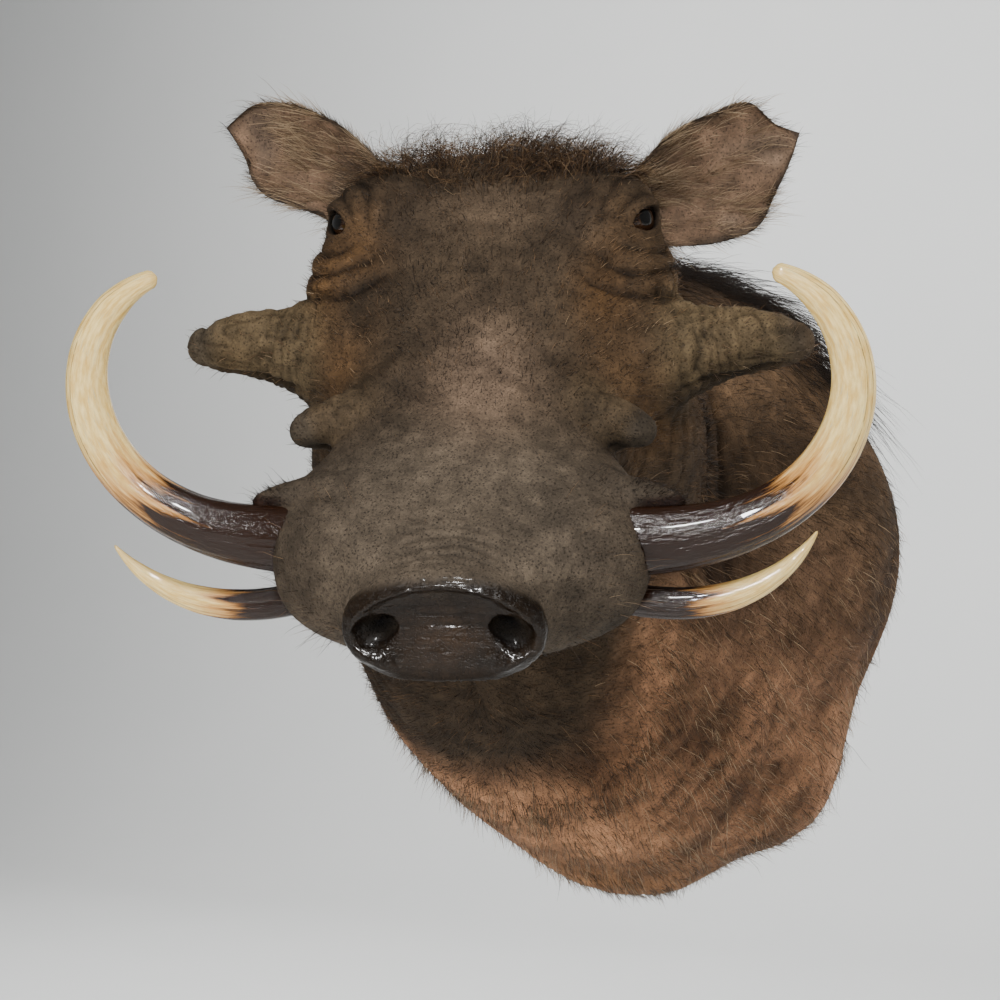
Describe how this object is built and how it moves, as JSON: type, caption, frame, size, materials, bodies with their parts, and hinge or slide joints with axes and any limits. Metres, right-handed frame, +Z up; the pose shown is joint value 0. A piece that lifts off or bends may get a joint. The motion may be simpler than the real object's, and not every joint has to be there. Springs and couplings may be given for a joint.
{
  "type": "warthog shoulder mount",
  "caption": "Wall-hung taxidermy shoulder mount of a warthog, head turned to its left, with curled ivory tusks, facial warts, upright ears, a sparse bristle mane and a flat backboard.",
  "frame": {"origin": "middle of the back of the board, on the wall", "axes": "+Y out of the back, into the wall; +Z up; the animal looks out towards -Y with its head turned towards +X"},
  "size_m": [0.4765, 0.6006, 0.5504],
  "materials": {
    "hide": "tanned hide with sparse bristle, matt, with a wet-looking black nose disc",
    "ivory": "polished ivory, stained dark brown at the roots",
    "eye_glass": "polished dark brown glass",
    "plywood": "bare plywood",
    "steel": "plain plated sheet"
  },
  "bodies": {
    "root": {"hide": "hide", "upper_tusk_right": "ivory", "upper_tusk_left": "ivory", "lower_tusk_right": "ivory", "lower_tusk_left": "ivory", "glass_eye_right": "eye_glass", "glass_eye_left": "eye_glass", "backboard": "plywood", "hanger": "steel"}
  },
  "joints": []
}
